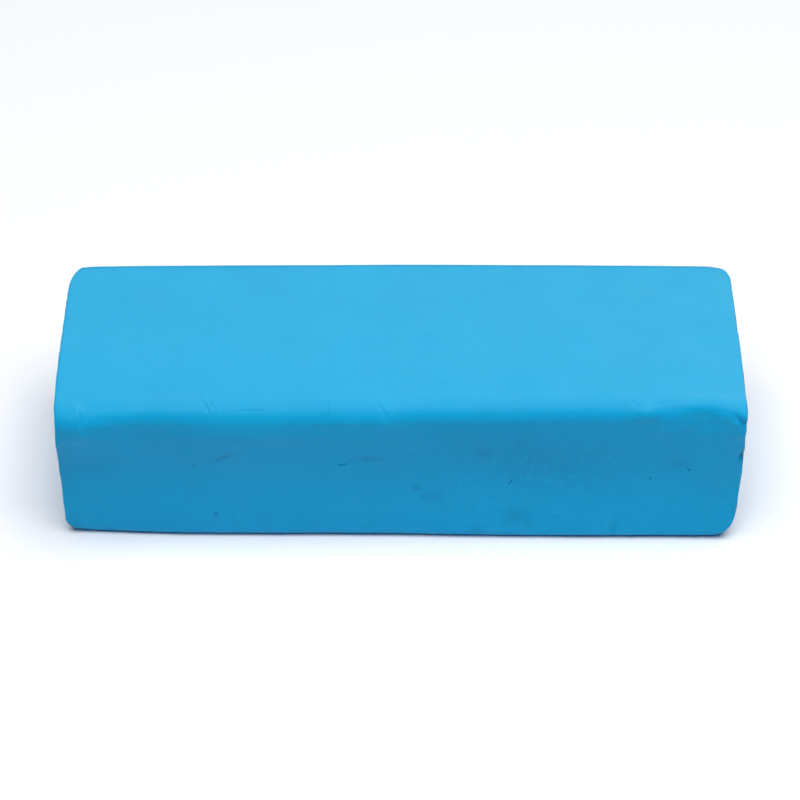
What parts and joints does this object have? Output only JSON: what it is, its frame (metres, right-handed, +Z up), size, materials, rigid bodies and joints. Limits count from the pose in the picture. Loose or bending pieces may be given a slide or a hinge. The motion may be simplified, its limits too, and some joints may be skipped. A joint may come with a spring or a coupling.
{
  "type": "clay bar",
  "caption": "Rounded rectangular block of blue kneadable detailing clay, rubbed over wetted car paint to lift bonded grit and overspray.",
  "frame": {"origin": "middle of the flat underside, at its level", "axes": "+X along the bar, +Y across it away from the front flank, +Z up from the underside to the crowned top"},
  "size_m": [0.108, 0.0364, 0.029],
  "materials": {
    "clay": "satin"
  },
  "bodies": {
    "root": {"clay_block": "clay"}
  },
  "joints": []
}
